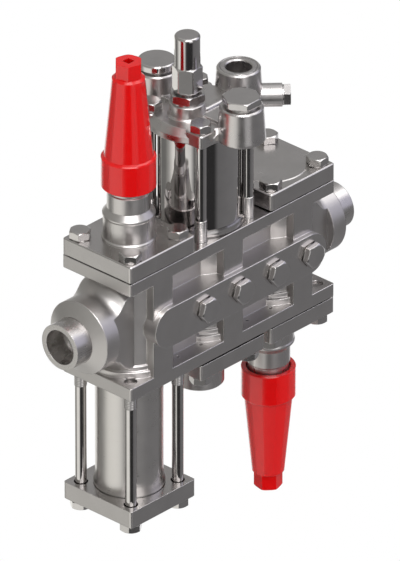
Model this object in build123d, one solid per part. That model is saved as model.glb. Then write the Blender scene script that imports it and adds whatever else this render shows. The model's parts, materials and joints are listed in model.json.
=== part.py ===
from build123d import *
import os
from math import cos, radians, sin

os.makedirs("parts", exist_ok=True)

# Refrigeration valve station with a welded-in pipe line, all sizes in millimetres.
# The origin is the centre of the inlet pipe mouth, +X runs along the flow and +Z is up.
# Six function modules are bolted on one forged housing, three above and three below.

# Forged housing
BODY_WIDTH = 86.0
BODY_HEIGHT = 122.0
STUB_REACH = 49.0
MODULE_GAP = 8.0
FLANGE_PLATE = 12.7
FLANGE_CORNER = 2.0
CHAMBER_OUTER_R = 36.2
CHAMBER_BORE_R = 27.0
FOOT_RING_R = 40.6
FOOT_RING_H = 6.2
FOOT_STEP_R = 37.8
FOOT_STEP_H = 11.0
FOOT_FILLET = 0.75
THREAD_FLOOR_SKIN = 1.0
DRILL_POINT_R = 1.4
CORE_HALF_WIDTH = 25.8
RIB_WIDTH = 25.5

# Long side boss with the plugged service ports
RIDGE_HEIGHT = 40.4
RIDGE_PROUD = 5.5
RIDGE_ROOT_Y = 22.0
BOSS_START_PAST_AXIS = 4.4
FIRST_PORT_PAST_AXIS = 52.4
PORTS_PER_MODULE = 2
PORT_COUNT = 4
SIDE_PORT_R = 8.0
SIDE_PORT_DEPTH = 16.0
SIDE_PLUG_FLATS = 22.0
SIDE_PLUG_HEAD = 5.6
SIDE_PLUG_SHANK = 14.0
SIDE_SEAL_T = 1.2
SIDE_SEAL_R = 10.4

# Necks and pipe stubs
STUB_R = 22.4
SOCKET_R = 17.0
SOCKET_DEPTH = 24.0
PIPE_BORE_R = 15.0
STUB_SEAT_DEPTH = 28.0
CONE_START = 18.6
CONE_END = 25.6
NECK_R = 36.0
NECK_RING_SETBACK = 6.7
NECK_HALF_WIDTH = 28.0
FLARE_LENGTH = 21.0
FLARE_START_RISE = 0.122
FLARE_LOW_RISE = 0.293
FLARE_LOW_AT = 3.3
FLARE_HIGH_RISE = 0.642
FLARE_HIGH_AT = 8.0
FLARE_CREST_RISE = 0.862
FLARE_CREST_AT = 14.0

# Passages and seat webs inside the housing
CROSS_PASSAGE_R = 10.0
LOWER_PASSAGE_SKIN = 0.3
UPPER_PASSAGE_SKIN = 2.3
STOP_WEB_NEAR = 18.0
STOP_WEB_FAR = 25.0
SERVO_WEB_HALF = 4.0
SEAT_BORE_R = 20.0
SEAT_OPENING_R = 15.0
SEAT_LIP_R = 23.0
SEAT_LIP_T = 1.5

# Cover plates, gaskets and the bolt pattern
PLATE_SIZE = 86.0
PLATE_T = 16.5
PLATE_CORNER = 2.5
GASKET_T = 1.3
DEEP_GASKET_T = 2.0
GASKET_R = 38.0
SPIGOT_R = 26.9
SPIGOT_H = 6.0
BOLT_PITCH = 63.0
BOLT_R = 6.0
BOLT_HOLE_R = 6.6
BOLT_THREAD_FIT = 0.05
BOLT_FLATS = 18.6
BOLT_HEAD_H = 7.4
BOLT_COLLAR_R = 9.2
BOLT_COLLAR_H = 0.8
BOLT_TIP_SHORT_OF_FLANGE = 1.6
STOP_BOLT_TURN = 12.0
STRAINER_BOLT_TURN = 4.0
SPRING_BOLT_TURN = 30.0
BLIND_BOLT_TURN = 20.0
SERVO_BOLT_TURN = 40.0

# Stop valve module
BONNET_R = 23.8
BONNET_RING_R = 24.5
BONNET_RISE = 26.6
BONNET_TAPER = 5.6
COLLAR_R = 20.2
COLLAR_LENGTH = 30.0
COLLAR_GROOVE_R = 19.1
SPINDLE_R = 5.5
SPINDLE_THREAD_R = 7.0
SPINDLE_SQUARE = 8.0
SPINDLE_PROUD = 25.0
SPINDLE_NECK = 16.0
PACKING_R = 11.0
PACKING_DEPTH = 27.0
PACKING_STACK = 14.0
GLAND_FLATS = 27.0
GLAND_HEAD = 7.0
STOP_LIFT = 12.0
CONE_R = 19.0
CONE_HUB_R = 10.0
CONE_HUB_TOP = 10.0

# Red protecting cap
CAP_OVERLAP = 8.0
CAP_BAND_LENGTH = 31.0
CAP_BAND_R = 25.6
CAP_CONE_R = 22.9
CAP_NECK_R = 15.3
CAP_CONE_LENGTH = 82.0
CAP_TIP_LENGTH = 15.0
CAP_HEX_FLATS = 23.2
CAP_THREAD_FIT = 0.35
CAP_BORE_TOP_R = 9.0
CAP_SQUARE = 8.0
CAP_SQUARE_DEPTH = 6.0

# Strainer module under the inlet chamber
STRAINER_TUBE_R = 31.6
STRAINER_BORE_R = 27.0
STRAINER_LENGTH = 114.7
STRAINER_FOOT_R = 33.2
STRAINER_COVER_T = 18.0
STRAINER_GASKET_T = 1.0
LONG_BOLT_SHANK_R = 5.45
LONG_BOLT_THREAD = 15.0
ELEMENT_R = 21.5
ELEMENT_WALL = 1.2
ELEMENT_RING_R = 23.5
ELEMENT_MOUTH_R = 16.0

# Servo module over the middle chamber
CYLINDER_R = 38.5
CYLINDER_BORE_R = 30.0
CYLINDER_LENGTH = 100.3
CYLINDER_FLOOR_RISE = 11.8
SERVO_RING_R = 41.8
SERVO_RING_H = 4.2
SERVO_GASKET_T = 1.2
SERVO_BOLT_THREAD = 22.0
COVER_T = 12.7
COVER_GASKET_T = 0.8
COVER_SPIGOT_H = 4.0
COVER_DISC_R = 50.0
COVER_BEVEL = 6.5
LOBE_SIZE = 21.4
LOBE_CORNER = 4.0
PORT_RADIUS = 53.0
PORT_BOSS_RISE = 21.6
PORT_BOSS_TOP_R = 20.5
PORT_CHAMFER = 1.2
PORT_BOSS_FOOT_R = 22.4
PORT_BORE_R = 12.1
PORT_BORE_DEPTH = 23.6
PORT_STEP_R = 17.0
PORT_STEP_T = 0.8
PILOT_PLUG_FLATS = 32.0
PILOT_PLUG_HEAD = 7.2
PILOT_PLUG_TURN = 0.6
PILOT_SHANK = 18.1
PILOT_DRILL_R = 2.5
PILOT_DRILL_RISE = 4.2
PILOT_DRILL_LENGTH = 42.0
PILOT_DRILL_INSET = 18.0
PILOT_DRILL_TILT = 60.0
PILOT_SEAL_T = 2.0
PILOT_SEAL_R = 14.2
DISC_PLUG_R = 18.0
BRANCH_R = 11.0
BRANCH_RISE = 3.7
BRANCH_END = 40.0
BRANCH_BORE_R = 5.5
BRANCH_PLUG_FLATS = 19.0
BRANCH_PLUG_HEAD = 6.4
BRIDGE_HALF_WIDTH = 13.0
BRIDGE_RISE = 3.0
PAD_LENGTH = 42.0
PAD_WIDTH = 36.0
PAD_RISE = 6.0
PAD_CORNER = 6.0
PAD_EDGE = 3.0
PAD_OFFSET_X = 12.0
PAD_OFFSET_Y = 2.5
OPEN_BOSS_DROP = 10.3
TOWER_OFFSET = 15.7
TOWER_R = 17.0
TOWER_RISE = 13.0
TOWER_NUT_FLATS = 30.0
TOWER_NUT_LENGTH = 10.0
TOWER_NUT_TURN = -9.0
TOWER_NECK_R = 9.5
TOWER_CAP_FLATS = 24.7
TOWER_CAP_TURN = 5.6
TOWER_CAP_GAP = 2.0
TOWER_CAP_HEX_LENGTH = 25.0
TOWER_CAP_R = 12.1
TOWER_CAP_DOME_LENGTH = 31.6
MANUAL_SPINDLE_R = 5.0
MANUAL_FEED = 10.0

# Servo piston, throttle cone and return spring
PISTON_HEADROOM = 9.3
PISTON_LENGTH = 30.0
PUSH_ROD_R = 6.0
SERVO_TRAVEL = 10.0
SPRING_R = 13.0
SPRING_WIRE_R = 1.5
SPRING_TURNS = 7.0
SPRING_PLATE_T = 16.0
SPRING_BOSS_R = 23.3
SPRING_BOSS_LENGTH = 31.0
SPRING_FLOOR_T = 8.0
SPRING_BORE_R = 17.0

# Working clearances
RUN = 0.05
GAP = 0.35

HALF_W = BODY_WIDTH / 2
HALF_H = BODY_HEIGHT / 2
AXIS_PITCH = PLATE_SIZE + MODULE_GAP
FIRST_AXIS = PLATE_SIZE / 2
BODY_LENGTH = 2 * FIRST_AXIS + 2 * AXIS_PITCH
PORT_PITCH = AXIS_PITCH / PORTS_PER_MODULE
CAP_THREAD_R = COLLAR_R + CAP_THREAD_FIT
BODY_X0 = STUB_REACH
BODY_X1 = STUB_REACH + BODY_LENGTH
TOTAL_LENGTH = BODY_LENGTH + 2 * STUB_REACH
X1 = BODY_X0 + FIRST_AXIS
X2 = X1 + AXIS_PITCH
X3 = X2 + AXIS_PITCH
BOLT_OFF = BOLT_PITCH / 2
FLANGE_INNER = HALF_H - FLANGE_PLATE
RIDGE_Y = HALF_W + RIDGE_PROUD
PLATE_BASE = HALF_H + GASKET_T
PLATE_TOP = PLATE_BASE + PLATE_T
LOWER_PASSAGE_Z = -(FLANGE_INNER - CROSS_PASSAGE_R - LOWER_PASSAGE_SKIN)
UPPER_PASSAGE_Z = FLANGE_INNER - CROSS_PASSAGE_R - UPPER_PASSAGE_SKIN
NECK_RING_END = STUB_REACH - NECK_RING_SETBACK

# Heights up the stop valve, each from the piece below it
BONNET_TOP = PLATE_TOP + BONNET_RISE
COLLAR_START = BONNET_TOP + BONNET_TAPER
COLLAR_TOP = COLLAR_START + COLLAR_LENGTH
PACKING_BOTTOM = COLLAR_TOP - PACKING_DEPTH
PACKING_TOP = PACKING_BOTTOM + PACKING_STACK
SPINDLE_THREAD_TOP = PACKING_BOTTOM - SPINDLE_NECK
SPINDLE_TOP = COLLAR_TOP + SPINDLE_PROUD
CAP_RIM = COLLAR_TOP - CAP_OVERLAP
CAP_BAND_TOP = CAP_RIM + CAP_BAND_LENGTH
CAP_NECK_Z = CAP_BAND_TOP + CAP_CONE_LENGTH
CAP_TOP = CAP_NECK_Z + CAP_TIP_LENGTH

# Heights up the servo module, each from the piece below it
SERVO_BASE = HALF_H + SERVO_GASKET_T
SERVO_THREAD_TOP = HALF_H + SERVO_BOLT_THREAD
CYLINDER_FLOOR = SERVO_BASE + CYLINDER_FLOOR_RISE
CYLINDER_TOP = SERVO_BASE + CYLINDER_LENGTH
COVER_BASE = CYLINDER_TOP + COVER_GASKET_T
COVER_TOP = COVER_BASE + COVER_T
OPEN_BOSS_FOOT = COVER_BASE - OPEN_BOSS_DROP
BRANCH_Z = COVER_BASE + BRANCH_RISE
PORT_BOSS_TOP = COVER_TOP + PORT_BOSS_RISE
PORT_BORE_FLOOR = PORT_BOSS_TOP - PORT_BORE_DEPTH
PILOT_SHANK_END = PORT_BOSS_TOP - PILOT_SHANK
PILOT_DRILL_Z = COVER_BASE + PILOT_DRILL_RISE
TOWER_TOP = COVER_TOP + TOWER_RISE
TOWER_NUT_TOP = TOWER_TOP + TOWER_NUT_LENGTH
TOWER_CAP_FOOT = TOWER_NUT_TOP + TOWER_CAP_GAP
TOWER_CAP_HEX_TOP = TOWER_CAP_FOOT + TOWER_CAP_HEX_LENGTH
TOWER_CAP_TOP = TOWER_CAP_HEX_TOP + TOWER_CAP_DOME_LENGTH
PISTON_TOP = COVER_BASE - COVER_SPIGOT_H - PISTON_HEADROOM


def cyl(r, z0, z1, x=0.0, y=0.0):
    """Upright cylinder between two heights."""
    return Pos(x, y, (z0 + z1) / 2) * Cylinder(r, z1 - z0)


def cyl_x(r, x0, x1, y=0.0, z=0.0):
    """Cylinder along the pipe line."""
    return Pos((x0 + x1) / 2, y, z) * Rot(0, 90, 0) * Cylinder(r, x1 - x0)


def cyl_y(r, y0, y1, x=0.0, z=0.0):
    """Cylinder across the housing."""
    return Pos(x, (y0 + y1) / 2, z) * Rot(90, 0, 0) * Cylinder(r, y1 - y0)


def block(x0, x1, y0, y1, z0, z1):
    """Square block between six planes."""
    return Pos((x0 + x1) / 2, (y0 + y1) / 2, (z0 + z1) / 2) * Box(x1 - x0, y1 - y0, z1 - z0)


def prism(across_flats, z0, z1, x=0.0, y=0.0, turn=0.0):
    """Upright hexagon bar."""
    face = RegularPolygon(across_flats / 2, 6, major_radius=False)
    return Pos(x, y, z0) * Rot(0, 0, turn) * extrude(face, z1 - z0)


def turned(points, x=0.0, y=0.0):
    """Turned part about an upright axis, from (radius, height) corners."""
    outline = Polyline(*[(r, 0, z) for r, z in points], close=True)
    return Pos(x, y, 0) * revolve(make_face(outline), Axis.Z)


def corner_points(x):
    """The four bolt positions round one module axis."""
    return [(x + sx * BOLT_OFF, sy * BOLT_OFF) for sx in (-1, 1) for sy in (-1, 1)]


def flipped(shape):
    """The same module part turned over, for the lower side of the housing."""
    return Rot(180, 0, 0) * shape


def over_to_outlet(shape):
    """The inlet module part turned half round, for the outlet end underneath."""
    return Pos(TOTAL_LENGTH, 0, 0) * Rot(0, 180, 0) * shape


def group(solids):
    """Separate solids kept together as one set."""
    return Compound(children=list(solids))


def hex_bolt(x, y, seat, tip, shank_r, thread_from, turn):
    """Hexagon bolt hanging down from its seat, with chamfered head and thread end."""
    crown = seat + BOLT_COLLAR_H + BOLT_HEAD_H
    corner = BOLT_FLATS / 2 * 1.155
    head = prism(BOLT_FLATS, seat + BOLT_COLLAR_H, crown, turn=turn)
    rounding = turned([(0, seat), (corner + 1, seat), (corner + 1, crown - 1.9),
                       (BOLT_FLATS / 2 * 0.94, crown), (0, crown)])
    head = head & rounding
    body_r = BOLT_R - BOLT_THREAD_FIT
    stem = [(0, seat + BOLT_COLLAR_H), (BOLT_COLLAR_R, seat + BOLT_COLLAR_H), (BOLT_COLLAR_R, seat),
            (shank_r, seat), (shank_r, thread_from), (body_r, thread_from - 0.4),
            (body_r, tip + 1.2), (body_r - 1.2, tip), (0, tip)]
    return Pos(x, y, 0) * (head + turned(stem))


def bolt_set(x, seat, thread_from, turn, shank_r=None):
    """Four bolts of one module, tips just short of the inner face of the flange plate."""
    tip = FLANGE_INNER + BOLT_TIP_SHORT_OF_FLANGE
    shank = shank_r or BOLT_R - BOLT_THREAD_FIT
    turns = (turn, turn + 23, turn + 41, turn + 8)
    return group([hex_bolt(px, py, seat, tip, shank, thread_from, a)
                  for (px, py), a in zip(corner_points(x), turns)])


def square_plate(x, z0, z1, size=PLATE_SIZE, corner=PLATE_CORNER, edge=1.0):
    """Square cover plate with rounded corners and four bolt holes."""
    face = RectangleRounded(size, size, corner)
    plate = Pos(x, 0, z0) * extrude(face, z1 - z0)
    plate = chamfer(plate.faces().sort_by(Axis.Z)[-1].edges(), edge)
    for px, py in corner_points(x):
        plate -= cyl(BOLT_HOLE_R, z0 - 1, z1 + 1, px, py)
    return plate


def ring_gasket(x, z0, thickness, outer=GASKET_R, inner=SPIGOT_R + 0.6):
    """Flat ring gasket."""
    return turned([(inner, z0), (outer, z0), (outer, z0 + thickness), (inner, z0 + thickness)], x)


parts = {}

# Housing: two flange plates, three chamber walls and the core between them
plates = RectangleRounded(BODY_LENGTH, BODY_WIDTH, FLANGE_CORNER)
mid_x = (BODY_X0 + BODY_X1) / 2
housing = Pos(mid_x, 0, FLANGE_INNER) * extrude(plates, FLANGE_PLATE)
housing += Pos(mid_x, 0, -HALF_H) * extrude(plates, FLANGE_PLATE)
housing += block(X1, X3, -CORE_HALF_WIDTH, CORE_HALF_WIDTH, -FLANGE_INNER, FLANGE_INNER)
for x in (X1, X2, X3):
    foot = FLANGE_INNER - FOOT_RING_H
    step = FLANGE_INNER - FOOT_STEP_H
    skin = FilletPolyline((FOOT_RING_R, 0, -FLANGE_INNER), (FOOT_RING_R, 0, -foot), (FOOT_STEP_R, 0, -foot),
                          (FOOT_STEP_R, 0, -step), (CHAMBER_OUTER_R - 0.05, 0, -step),
                          (CHAMBER_OUTER_R, 0, FLANGE_INNER), radius=FOOT_FILLET)
    rim = Polyline((CHAMBER_OUTER_R, 0, FLANGE_INNER), (0, 0, FLANGE_INNER), (0, 0, -FLANGE_INNER),
                   (FOOT_RING_R, 0, -FLANGE_INNER))
    housing += Pos(x, 0, 0) * revolve(make_face(Curve() + [skin, rim]), Axis.Z)

# Three upright ribs, flush with the flange plates on both sides
for k in (-1, 0, 1):
    rib_x = mid_x + k * AXIS_PITCH
    housing += block(rib_x - RIB_WIDTH / 2, rib_x + RIB_WIDTH / 2, -HALF_W, HALF_W,
                     -FLANGE_INNER, FLANGE_INNER)

# Long round-ended boss on both sides, level with the pipe axis
first_boss = X1 + BOSS_START_PAST_AXIS
port_x = [X1 + FIRST_PORT_PAST_AXIS + PORT_PITCH * k for k in range(PORT_COUNT)]
last_boss = port_x[-1]
slot = SlotCenterToCenter(last_boss - first_boss, RIDGE_HEIGHT)
for side in (-1, 1):
    ridge = Rot(90, 0, 0) * extrude(slot, RIDGE_Y - RIDGE_ROOT_Y)
    start = -RIDGE_ROOT_Y if side < 0 else RIDGE_Y
    housing += Pos((first_boss + last_boss) / 2, start, 0) * ridge

# Necks: conical weld face, round ring, and a flared web that joins the end chambers
flare_rise = FLANGE_INNER - NECK_R
flare_end = BODY_X0 + FLARE_LENGTH
flare_points = [(NECK_R, 0, NECK_RING_END), (NECK_R + FLARE_START_RISE * flare_rise, 0, BODY_X0),
                (NECK_R + FLARE_LOW_RISE * flare_rise, 0, BODY_X0 + FLARE_LOW_AT),
                (NECK_R + FLARE_HIGH_RISE * flare_rise, 0, BODY_X0 + FLARE_HIGH_AT),
                (NECK_R + FLARE_CREST_RISE * flare_rise, 0, BODY_X0 + FLARE_CREST_AT),
                (FLANGE_INNER, 0, flare_end)]
neck_outline = make_face(Curve() + [
    Line((0, 0, CONE_START), (STUB_R, 0, CONE_START)),
    Line((STUB_R, 0, CONE_START), (NECK_R, 0, CONE_END)),
    Line((NECK_R, 0, CONE_END), (NECK_R, 0, NECK_RING_END)),
    Spline(*flare_points),
    Line((FLANGE_INNER, 0, flare_end), (FLANGE_INNER, 0, X1)),
    Line((FLANGE_INNER, 0, X1), (0, 0, X1)),
    Line((0, 0, X1), (0, 0, CONE_START)),
])
neck = Rot(0, 90, 0) * revolve(neck_outline, Axis.Z)
ring_part = neck & cyl_x(NECK_R, CONE_START - 1, NECK_RING_END)
web_part = neck & block(NECK_RING_END - 6, X1, -NECK_HALF_WIDTH, NECK_HALF_WIDTH, -HALF_H + 1, HALF_H - 1)
inlet_neck = ring_part + web_part
housing += inlet_neck
housing += Pos(TOTAL_LENGTH, 0, 0) * Rot(0, 0, 180) * inlet_neck

# Bores: chambers, seat openings, cross passages and the pipe line
for x, web in ((X1, (-STOP_WEB_FAR, -STOP_WEB_NEAR)),
               (X2, (-SERVO_WEB_HALF, SERVO_WEB_HALF)),
               (X3, (STOP_WEB_NEAR, STOP_WEB_FAR))):
    housing -= cyl(CHAMBER_BORE_R, web[1], HALF_H + 1, x)
    housing -= cyl(CHAMBER_BORE_R, -HALF_H - 1, web[0], x)
    housing -= cyl(SEAT_BORE_R, web[0] - 1, web[1] + 1, x)
housing -= cyl_x(CROSS_PASSAGE_R, X1, X2, z=LOWER_PASSAGE_Z)
housing -= cyl_x(CROSS_PASSAGE_R, X2, X3, z=UPPER_PASSAGE_Z)
stub_end = CONE_START + STUB_SEAT_DEPTH
for turn in (0, 180):
    shift = Pos(TOTAL_LENGTH if turn else 0, 0, 0) * Rot(0, 0, turn)
    housing -= shift * cyl_x(PIPE_BORE_R, CONE_START - 1, X1 - 10)
    housing -= shift * cyl_x(STUB_R, CONE_START - 1, stub_end)

# Tapped bolt holes: open at the four ends of the housing, elsewhere blind with a drill point
thread_floor = FLANGE_INNER + THREAD_FLOOR_SKIN
for x in (X1, X2, X3):
    for px, py in corner_points(x):
        at_end = px < X1 or px > X3
        for side in (-1, 1):
            floor_z = FLANGE_INNER - 1 if at_end else thread_floor
            deep, out = sorted((side * floor_z, side * (HALF_H + 1)))
            housing -= cyl(BOLT_R, deep, out, px, py)
            point, top = sorted((side * (FLANGE_INNER - 1), side * (thread_floor + 1)))
            housing -= cyl(DRILL_POINT_R, point, top, px, py)

# The plugged service ports
for x in port_x:
    housing -= cyl_y(SIDE_PORT_R, -RIDGE_Y - 1, -RIDGE_Y + SIDE_PORT_DEPTH, x)
parts["housing"] = housing

# Pipe stubs with a weld socket, set in the necks
stub = turned([(SOCKET_R, 0), (STUB_R, 0), (STUB_R, stub_end), (PIPE_BORE_R, stub_end),
               (PIPE_BORE_R, SOCKET_DEPTH), (SOCKET_R, SOCKET_DEPTH)])
stub = Rot(0, 90, 0) * stub
parts["inlet_stub"] = stub
parts["outlet_stub"] = Pos(TOTAL_LENGTH, 0, 0) * Rot(0, 0, 180) * stub

# Service plugs along the front boss, each on its own seal ring
head_base = SIDE_SEAL_T
head_top = SIDE_SEAL_T + SIDE_PLUG_HEAD
plug_corner = SIDE_PLUG_FLATS / 2 * 1.155
plug = prism(SIDE_PLUG_FLATS, head_base, head_top, turn=8)
plug = plug & turned([(0, 0), (plug_corner + 1, 0), (plug_corner + 1, head_top - 1.8),
                      (SIDE_PLUG_FLATS / 2 * 0.95, head_top), (0, head_top)])
plug += turned([(0, head_base), (SIDE_PORT_R - RUN, head_base), (SIDE_PORT_R - RUN, 1.5 - SIDE_PLUG_SHANK),
                (SIDE_PORT_R - 1.4, -SIDE_PLUG_SHANK), (0, -SIDE_PLUG_SHANK)])
seal = turned([(SIDE_PORT_R + 0.2, 0), (SIDE_SEAL_R, 0), (SIDE_SEAL_R, SIDE_SEAL_T),
               (SIDE_PORT_R + 0.2, SIDE_SEAL_T)])
parts["side_plugs"] = group([Pos(x, -RIDGE_Y, 0) * Rot(90, 0, 0) * plug for x in port_x])
parts["side_plug_seals"] = group([Pos(x, -RIDGE_Y, 0) * Rot(90, 0, 0) * seal for x in port_x])

# Stop valve: cover plate with bonnet, collar and spindle bore in one forging
bonnet = square_plate(X1, PLATE_BASE, PLATE_TOP)
bonnet += turned([(0, HALF_H - SPIGOT_H), (SPIGOT_R, HALF_H - SPIGOT_H), (SPIGOT_R, PLATE_BASE),
                  (BONNET_RING_R + 0.6, PLATE_BASE), (BONNET_RING_R + 0.6, PLATE_TOP + 1.8),
                  (BONNET_R, PLATE_TOP + 3.2), (BONNET_R, BONNET_TOP - 3), (BONNET_RING_R, BONNET_TOP - 1.6),
                  (BONNET_RING_R, BONNET_TOP), (COLLAR_R, COLLAR_START), (COLLAR_R, CAP_RIM - 6),
                  (COLLAR_GROOVE_R, CAP_RIM - 5), (COLLAR_GROOVE_R, CAP_RIM + 2), (COLLAR_R, CAP_RIM + 3),
                  (COLLAR_R, COLLAR_TOP - 1), (COLLAR_R - 1, COLLAR_TOP), (0, COLLAR_TOP)], X1)
bonnet -= cyl(SPINDLE_THREAD_R, HALF_H - SPIGOT_H - 1, PACKING_BOTTOM, X1)
bonnet -= cyl(PACKING_R, PACKING_BOTTOM, COLLAR_TOP + 1, X1)

# Gland nut, packing and bolts of the stop valve
gland = prism(GLAND_FLATS, COLLAR_TOP, COLLAR_TOP + GLAND_HEAD, X1, turn=10)
gland += cyl(PACKING_R - RUN, PACKING_TOP, COLLAR_TOP, X1)
gland -= cyl(SPINDLE_R + RUN, PACKING_TOP - 1, COLLAR_TOP + GLAND_HEAD + 1, X1)
packing = turned([(SPINDLE_R + RUN, PACKING_BOTTOM), (PACKING_R - RUN, PACKING_BOTTOM),
                  (PACKING_R - RUN, PACKING_TOP), (SPINDLE_R + RUN, PACKING_TOP)], X1)

# Stop cone with its hub, just clear of the seat ring below
seat_top = -STOP_WEB_NEAR + SEAT_LIP_T
cone_drop = seat_top + 0.5 - SEAT_OPENING_R
cone = turned([(0, cone_drop + 11), (11, cone_drop + 11), (13, cone_drop + 13), (CONE_R, cone_drop + CONE_R),
               (CONE_R, cone_drop + CONE_R + 6), (CONE_HUB_R, cone_drop + CONE_R + 8),
               (CONE_HUB_R, CONE_HUB_TOP), (SPINDLE_R + 1 + RUN, CONE_HUB_TOP),
               (SPINDLE_R + 1 + RUN, -2), (0, -2)], X1)
spindle = turned([(0, -2 + GAP), (SPINDLE_R + 1, -2 + GAP), (SPINDLE_R + 1, 40),
                  (SPINDLE_THREAD_R - RUN, 41), (SPINDLE_THREAD_R - RUN, SPINDLE_THREAD_TOP),
                  (SPINDLE_R, SPINDLE_THREAD_TOP + 1.5), (SPINDLE_R, SPINDLE_TOP - 12),
                  (0, SPINDLE_TOP - 12)], X1)
spindle += block(X1 - SPINDLE_SQUARE / 2, X1 + SPINDLE_SQUARE / 2, -SPINDLE_SQUARE / 2, SPINDLE_SQUARE / 2,
                 SPINDLE_TOP - 12, SPINDLE_TOP)
stop_seat = turned([(SEAT_OPENING_R, -STOP_WEB_FAR), (SEAT_BORE_R, -STOP_WEB_FAR),
                    (SEAT_BORE_R, -STOP_WEB_NEAR), (SEAT_LIP_R, -STOP_WEB_NEAR),
                    (SEAT_LIP_R, seat_top - 0.4), (SEAT_LIP_R - 0.4, seat_top),
                    (SEAT_OPENING_R, seat_top)], X1)

# Red cap: threaded skirt, waisted cone and a hexagon tip with a square socket
cap = turned([(CAP_THREAD_R + 0.7, CAP_RIM), (CAP_BAND_R - 0.6, CAP_RIM), (CAP_BAND_R, CAP_RIM + 0.8),
              (CAP_BAND_R, CAP_BAND_TOP - 1.2), (CAP_BAND_R - 1.0, CAP_BAND_TOP), (CAP_CONE_R, CAP_BAND_TOP + 1),
              (CAP_NECK_R, CAP_NECK_Z - 2), (CAP_NECK_R - 2.4, CAP_NECK_Z), (0, CAP_NECK_Z),
              (0, CAP_NECK_Z - 8), (CAP_BORE_TOP_R, CAP_NECK_Z - 8), (CAP_CONE_R - 4.6, CAP_BAND_TOP - 8),
              (CAP_THREAD_R, CAP_BAND_TOP - 12), (CAP_THREAD_R, CAP_RIM + 1)], X1)
tip = prism(CAP_HEX_FLATS, CAP_NECK_Z - 3, CAP_TOP, X1, turn=-47 + 30)
tip = tip & turned([(0, CAP_NECK_Z - 4), (CAP_HEX_FLATS, CAP_NECK_Z - 4), (CAP_HEX_FLATS, CAP_TOP - 4),
                    (CAP_HEX_FLATS / 2 + 0.4, CAP_TOP), (0, CAP_TOP)], X1)
cap += tip
cap -= block(X1 - CAP_SQUARE / 2, X1 + CAP_SQUARE / 2, -CAP_SQUARE / 2, CAP_SQUARE / 2,
             CAP_TOP - CAP_SQUARE_DEPTH, CAP_TOP + 1)

stop_valve = {
    "stop_bonnet": bonnet,
    "stop_gasket": ring_gasket(X1, HALF_H, GASKET_T),
    "stop_bolts": bolt_set(X1, PLATE_TOP, PLATE_BASE + 2, STOP_BOLT_TURN),
    "stop_spindle": spindle,
    "stop_cone": cone,
    "stop_seat_ring": stop_seat,
    "stop_packing": packing,
    "stop_gland_nut": gland,
    "stop_red_cap": cap,
}
for name, shape in stop_valve.items():
    parts["inlet_" + name] = shape
    parts["outlet_" + name] = over_to_outlet(shape)

# Strainer: tube held between the housing and an end plate by four long bolts
tube_top = -HALF_H - GASKET_T
tube_end = tube_top - STRAINER_LENGTH
tube = turned([(STRAINER_BORE_R, tube_top), (STRAINER_TUBE_R, tube_top), (STRAINER_TUBE_R, tube_end + 4),
               (STRAINER_FOOT_R, tube_end + 2), (STRAINER_FOOT_R, tube_end), (STRAINER_BORE_R, tube_end)], X1)
plate_top = tube_end - STRAINER_GASKET_T
plate_end = plate_top - STRAINER_COVER_T
end_plate = flipped(square_plate(X1, -plate_top, -plate_end, corner=2.5))
end_plate += cyl(STRAINER_BORE_R - 0.2, plate_top, plate_top + 6, X1)
end_plate -= cyl(STRAINER_BORE_R - 6, plate_top + 2, plate_top + 7, X1)
parts["strainer_tube"] = tube
parts["strainer_upper_gasket"] = ring_gasket(X1, tube_top, GASKET_T, STRAINER_TUBE_R - 0.6, STRAINER_BORE_R + 0.2)
parts["strainer_lower_gasket"] = ring_gasket(X1, plate_top, STRAINER_GASKET_T, STRAINER_FOOT_R - 0.6,
                                             STRAINER_BORE_R + 0.2)
parts["strainer_cover"] = end_plate
parts["strainer_bolts"] = flipped(bolt_set(X1, -plate_end, HALF_H + LONG_BOLT_THREAD, STRAINER_BOLT_TURN,
                                            LONG_BOLT_SHANK_R))

# Strainer element: slotted support tube between a mouth ring and a closed foot
element_top = -STOP_WEB_FAR
element_foot = plate_top + 2
element = turned([(ELEMENT_MOUTH_R, element_top), (ELEMENT_RING_R, element_top), (ELEMENT_RING_R, element_top - 4),
                  (ELEMENT_MOUTH_R + 2, element_top - 6), (ELEMENT_MOUTH_R + 2, -HALF_H - 4),
                  (ELEMENT_R, -HALF_H - 8), (ELEMENT_R, element_foot + 6), (STRAINER_BORE_R - 6.3, element_foot + 5),
                  (STRAINER_BORE_R - 6.3, element_foot), (0, element_foot), (0, element_foot + 3),
                  (ELEMENT_R - ELEMENT_WALL, element_foot + 7), (ELEMENT_R - ELEMENT_WALL, -HALF_H - 9),
                  (ELEMENT_MOUTH_R, -HALF_H - 5)], X1)
slot_h = 14.0
for row in range(4):
    for k in range(4):
        z_mid = -HALF_H - 26 - row * 21
        bar = Rot(0, 0, k * 45 + 22.5) * Box(2 * ELEMENT_R + 4, 7, slot_h)
        element -= Pos(X1, 0, z_mid) * bar
parts["strainer_element"] = element

# Bottom module: plate with a hollow boss that houses the return spring
low_base = HALF_H + DEEP_GASKET_T
low_top = low_base + SPRING_PLATE_T
boss_end = -low_top - SPRING_BOSS_LENGTH
spring_floor = boss_end + SPRING_FLOOR_T
spring_cover = flipped(square_plate(X2, low_base, low_top))
spring_cover += cyl(SPIGOT_R, -low_base, -HALF_H + SPIGOT_H, X2)
spring_cover += turned([(0, -low_base), (SPRING_BOSS_R + 2, -low_base), (SPRING_BOSS_R + 2, -low_top),
                        (SPRING_BOSS_R, -low_top - 2), (SPRING_BOSS_R, boss_end + 1.2),
                        (SPRING_BOSS_R - 1.2, boss_end), (0, boss_end)], X2)
spring_cover -= cyl(SPRING_BORE_R, spring_floor, -HALF_H + SPIGOT_H + 1, X2)
spring_cover += cyl(SPRING_R - SPRING_WIRE_R - 1.5, spring_floor - 1, spring_floor + 10, X2)
parts["spring_cover"] = spring_cover
parts["spring_cover_gasket"] = ring_gasket(X2, -low_base, DEEP_GASKET_T)
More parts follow.
